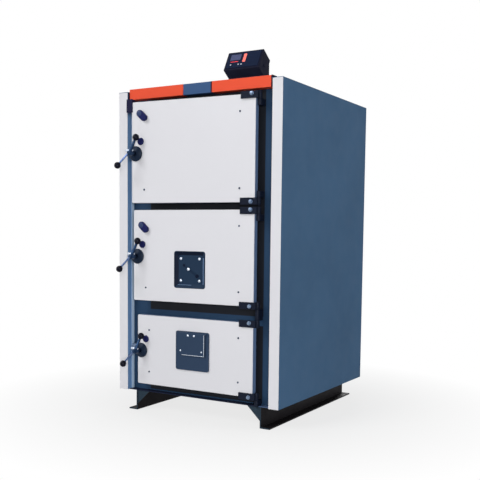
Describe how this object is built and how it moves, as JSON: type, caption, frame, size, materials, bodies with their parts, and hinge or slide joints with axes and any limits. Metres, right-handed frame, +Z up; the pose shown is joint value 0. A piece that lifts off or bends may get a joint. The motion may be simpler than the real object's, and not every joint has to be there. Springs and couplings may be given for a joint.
{
  "type": "solid-fuel boiler",
  "caption": "Upright steel boiler in a blue jacket on angle feet, with white hinged front doors on bent ball levers, an orange header and a sloped control box.",
  "frame": {"origin": "floor level under the middle of the whole part, levers and flue spigot included", "axes": "+X to the right seen from the front, +Y from the doors to the flue, +Z up"},
  "size_m": [0.8, 1.1152, 1.5297],
  "materials": {
    "white_paint": "smooth white powder coat",
    "blue_paint": "blue powder coat",
    "pan_paint": "blue enamel",
    "dark_blue_paint": "dark blue enamel",
    "light_strip": "light blue coat",
    "orange_paint": "orange powder coat",
    "badge_paint": "blue film",
    "black_paint": "black enamel",
    "black_plastic": "black moulding",
    "lever_steel": "blued steel",
    "raw_steel": "plain turned steel",
    "cast_iron": "as cast",
    "ceramic_fibre": "ceramic fibre board and rope"
  },
  "bodies": {
    "boiler": {"base_rail_right": "black_paint", "base_rail_left": "black_paint", "grate": "cast_iron", "jacket_right": "blue_paint", "jacket_left": "blue_paint", "corner_trim_right": "white_paint", "corner_trim_left": "white_paint", "edge_strip_right": "light_strip", "edge_strip_left": "light_strip", "jacket_top": "blue_paint", "jacket_back": "blue_paint", "flue_panel": "blue_paint", "water_sockets": "raw_steel", "controller_case": "black_plastic", "controller_face": "black_plastic", "hinge_brackets": "black_paint", "latch_keepers": "black_paint", "water_wall_right": "dark_blue_paint", "water_wall_left": "dark_blue_paint", "top_wall": "dark_blue_paint", "bottom_wall": "dark_blue_paint", "back_wall_lower": "dark_blue_paint", "back_wall_right": "dark_blue_paint", "back_wall_left": "dark_blue_paint", "front_rail_upper": "dark_blue_paint", "front_rail_lower": "dark_blue_paint", "header_right": "orange_paint", "header_left": "orange_paint", "header_badge": "badge_paint"},
    "door_1": {"door_1_cover": "white_paint", "door_1_pan": "pan_paint", "door_1_lining": "ceramic_fibre", "door_1_lugs": "black_paint", "pull_knob_1": "black_plastic"},
    "door_2": {"door_2_cover": "white_paint", "door_2_pan": "pan_paint", "door_2_lining": "ceramic_fibre", "door_2_lugs": "black_paint", "pull_knob_2": "black_plastic", "blanking_plate": "dark_blue_paint"},
    "door_3": {"door_3_cover": "white_paint", "door_3_pan": "pan_paint", "door_3_lining": "ceramic_fibre", "door_3_lugs": "black_paint", "damper_plate": "dark_blue_paint"},
    "lever_1": {"lever_1": "lever_steel", "lever_1_knobs": "black_plastic"},
    "lever_2": {"lever_2": "lever_steel", "lever_2_knobs": "black_plastic"},
    "lever_3": {"lever_3": "lever_steel", "lever_3_knobs": "black_plastic"},
    "air_flap": {"air_flap": "dark_blue_paint"}
  },
  "joints": [
    {"name": "door_1_hinge", "type": "hinge", "parent": "boiler", "child": "door_1", "pos_m": [0.294, -0.4084, 1.1214], "axis": [0, 0, 1], "range_deg": [-4.2, 115]},
    {"name": "door_2_hinge", "type": "hinge", "parent": "boiler", "child": "door_2", "pos_m": [0.294, -0.4084, 0.68723], "axis": [0, 0, 1], "range_deg": [-2.8, 115]},
    {"name": "door_3_hinge", "type": "hinge", "parent": "boiler", "child": "door_3", "pos_m": [0.294, -0.4084, 0.27584], "axis": [0, 0, 1], "range_deg": [0, 115]},
    {"name": "lever_1_turn", "type": "hinge", "parent": "door_1", "child": "lever_1", "pos_m": [-0.27251, -0.50415, 1.1174], "axis": [0.0732, -0.9973, 0], "range_deg": [0, 75]},
    {"name": "lever_2_turn", "type": "hinge", "parent": "door_2", "child": "lever_2", "pos_m": [-0.27468, -0.49028, 0.68323], "axis": [0.0488, -0.9988, 0], "range_deg": [0, 75]},
    {"name": "lever_3_turn", "type": "hinge", "parent": "door_3", "child": "lever_3", "pos_m": [-0.278, -0.4624, 0.27184], "axis": [0, -1, 0], "range_deg": [0, 75]},
    {"name": "air_flap_swing", "type": "hinge", "parent": "door_3", "child": "air_flap", "pos_m": [-0.009, -0.4309, 0.36534], "axis": [-1, 0, 0], "range_deg": [0, 75]}
  ]
}
